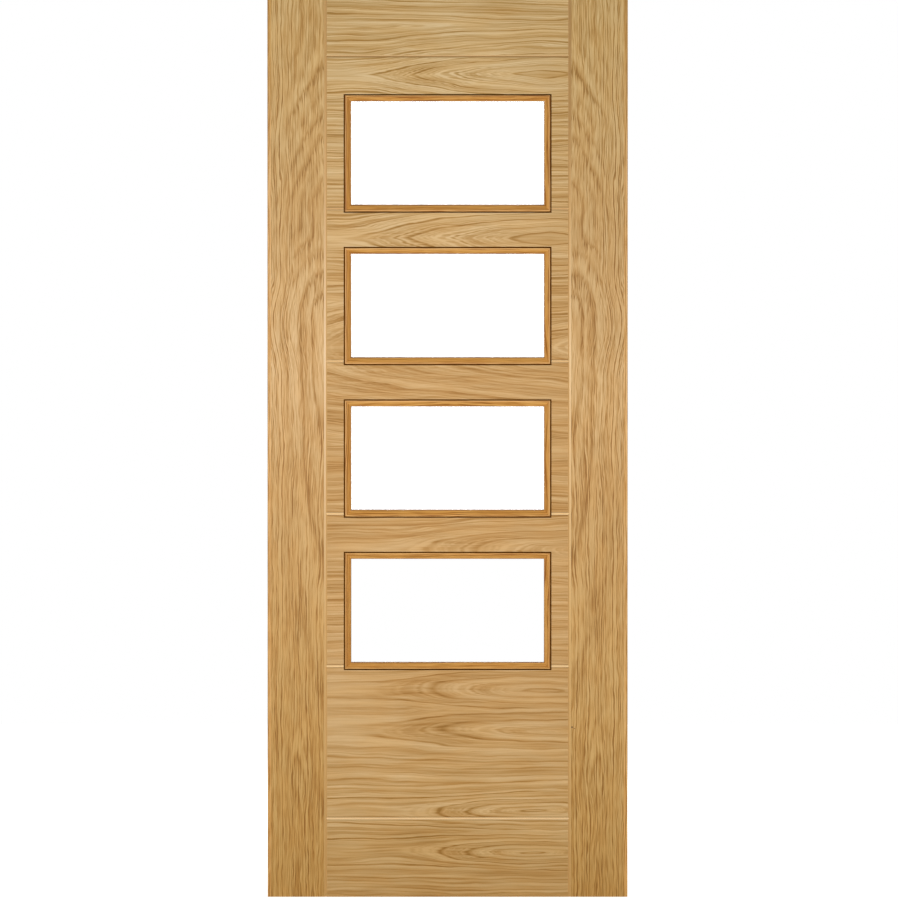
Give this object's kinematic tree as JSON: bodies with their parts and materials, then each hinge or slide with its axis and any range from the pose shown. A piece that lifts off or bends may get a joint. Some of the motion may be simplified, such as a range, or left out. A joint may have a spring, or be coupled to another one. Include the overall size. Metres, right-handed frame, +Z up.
{
  "type": "glazed interior door leaf",
  "caption": "Oak-veneered interior door leaf with V-jointed level boards between upright stiles, wide clear lights one above another, mitred glazing beads and lipped edges.",
  "frame": {"origin": "bottom end of the hinge edge, midway through the leaf's thickness", "axes": "+Z up the leaf, +X from the hinge edge to the lock edge, +Y from the front face to the back"},
  "size_m": [0.813, 0.035, 2.032],
  "materials": {
    "oak_stile": "satin lacquer",
    "oak_rail": "satin lacquer",
    "oak_lipping": "satin lacquer",
    "oak_bead": "satin lacquer",
    "clear_glass": "clear polished"
  },
  "bodies": {
    "root": {"hinge_edge_lipping": "oak_lipping", "lock_edge_lipping": "oak_lipping", "hinge_stile": "oak_stile", "lock_stile": "oak_stile", "top_rail": "oak_rail", "bottom_panel": "oak_rail", "bottom_rail": "oak_rail", "cross_rail_1": "oak_rail", "light_1_hinge_side_margin": "oak_rail", "light_1_lock_side_margin": "oak_rail", "light_1_glass": "clear_glass", "light_1_front_cross_beads": "oak_bead", "light_1_front_side_beads": "oak_bead", "light_1_back_cross_beads": "oak_bead", "light_1_back_side_beads": "oak_bead", "cross_rail_2": "oak_rail", "light_2_hinge_side_margin": "oak_rail", "light_2_lock_side_margin": "oak_rail", "light_2_glass": "clear_glass", "light_2_front_cross_beads": "oak_bead", "light_2_front_side_beads": "oak_bead", "light_2_back_cross_beads": "oak_bead", "light_2_back_side_beads": "oak_bead", "cross_rail_3": "oak_rail", "light_3_hinge_side_margin": "oak_rail", "light_3_lock_side_margin": "oak_rail", "light_3_glass": "clear_glass", "light_3_front_cross_beads": "oak_bead", "light_3_front_side_beads": "oak_bead", "light_3_back_cross_beads": "oak_bead", "light_3_back_side_beads": "oak_bead", "cross_rail_4": "oak_rail", "light_4_hinge_side_margin": "oak_rail", "light_4_lock_side_margin": "oak_rail", "light_4_glass": "clear_glass", "light_4_front_cross_beads": "oak_bead", "light_4_front_side_beads": "oak_bead", "light_4_back_cross_beads": "oak_bead", "light_4_back_side_beads": "oak_bead"}
  },
  "joints": []
}
